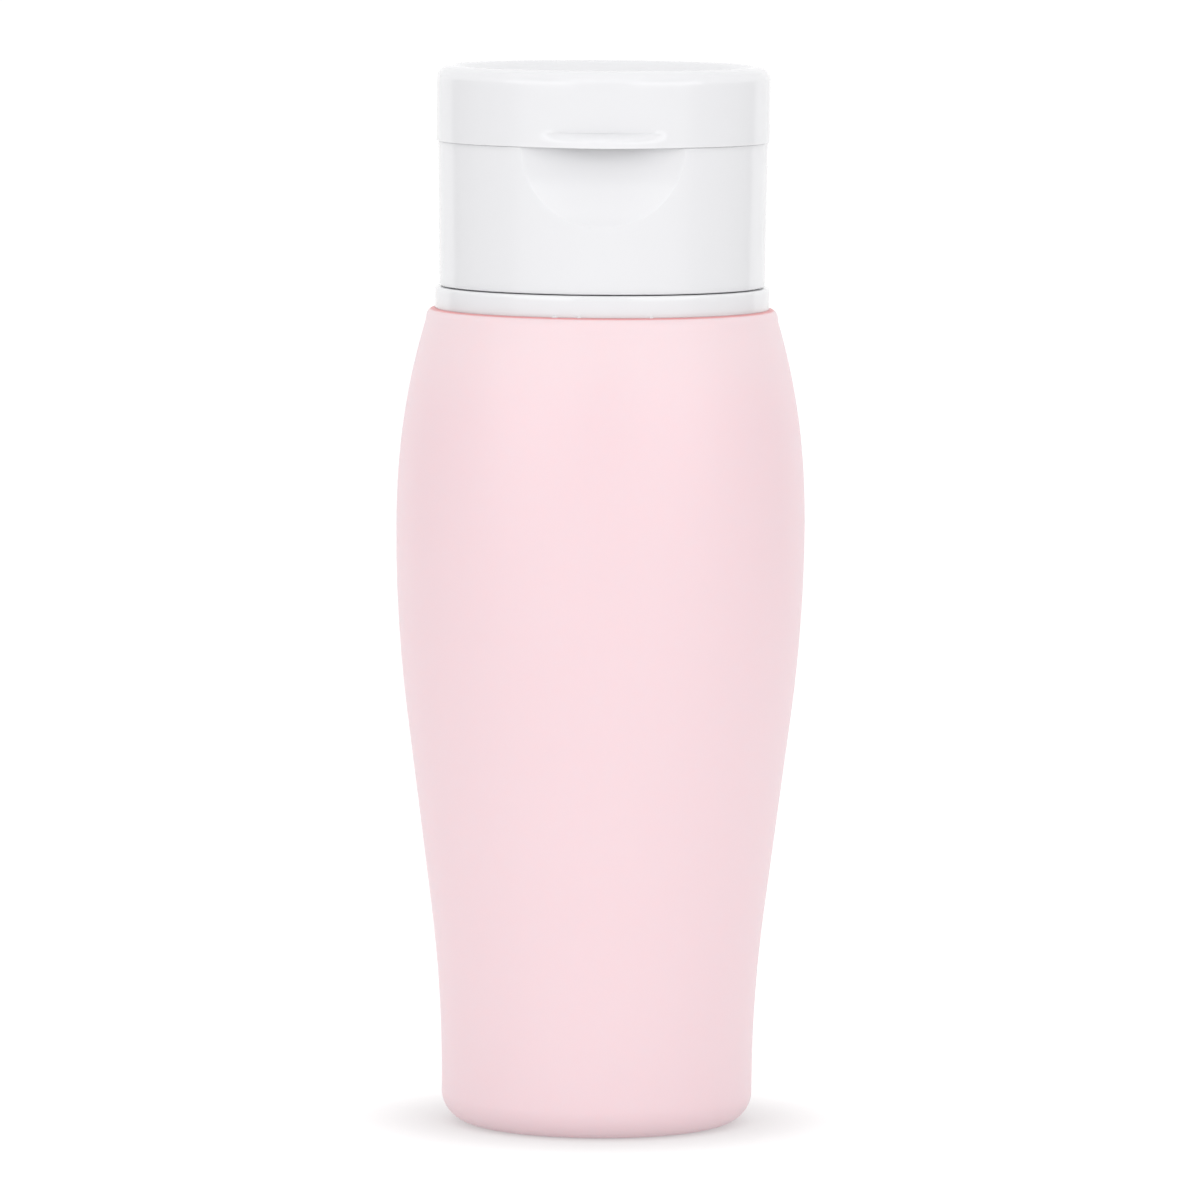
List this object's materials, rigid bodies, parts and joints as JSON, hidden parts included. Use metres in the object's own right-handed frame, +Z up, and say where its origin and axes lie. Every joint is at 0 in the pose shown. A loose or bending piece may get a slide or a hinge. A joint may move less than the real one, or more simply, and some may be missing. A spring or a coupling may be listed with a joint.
{
  "type": "travel squeeze bottle",
  "caption": "Round silicone squeeze bottle with a waisted foot, a screw cap on a hard threaded neck, a slit valve and a flip lid with a thumb lip.",
  "frame": {"origin": "centre of the base, on the surface that the bottle stands on", "axes": "+Z up along the bottle's axis, -Y towards the front with the thumb scoop, +Y towards the hinge, +X to the right seen from the front"},
  "size_m": [0.045, 0.045, 0.1169],
  "materials": {
    "pink_silicone": "matt moulded silicone, slightly translucent",
    "white_polypropylene": "satin moulded",
    "clear_silicone": "translucent moulded silicone",
    "pin_steel": "drawn wire"
  },
  "bodies": {
    "bottle": {"bottle_body": "pink_silicone", "neck_fitting": "white_polypropylene"},
    "cap_seal": {"cap_gasket": "clear_silicone"},
    "cap": {"cap_base": "white_polypropylene", "slit_valve": "clear_silicone", "valve_retainer": "white_polypropylene", "hinge_pin": "pin_steel"},
    "lid": {"flip_lid": "white_polypropylene"}
  },
  "joints": [
    {"name": "cap_lift", "type": "slide", "parent": "bottle", "child": "cap_seal", "axis": [0, 0, 1], "range_m": [0, 0.00501]},
    {"name": "cap_turn", "type": "hinge", "parent": "cap_seal", "child": "cap", "pos_m": [0, 0, 0.1], "axis": [0, 0, 1], "range_deg": [0, 450]},
    {"name": "lid_hinge", "type": "hinge", "parent": "cap", "child": "lid", "pos_m": [0, 0.0185, 0.10865], "axis": [-1, 0, 0], "range_deg": [0, 150]}
  ],
  "couplings": [
    {"joint": "cap_lift", "follows": "cap_turn", "m_per_rad": 0.00063662}
  ]
}
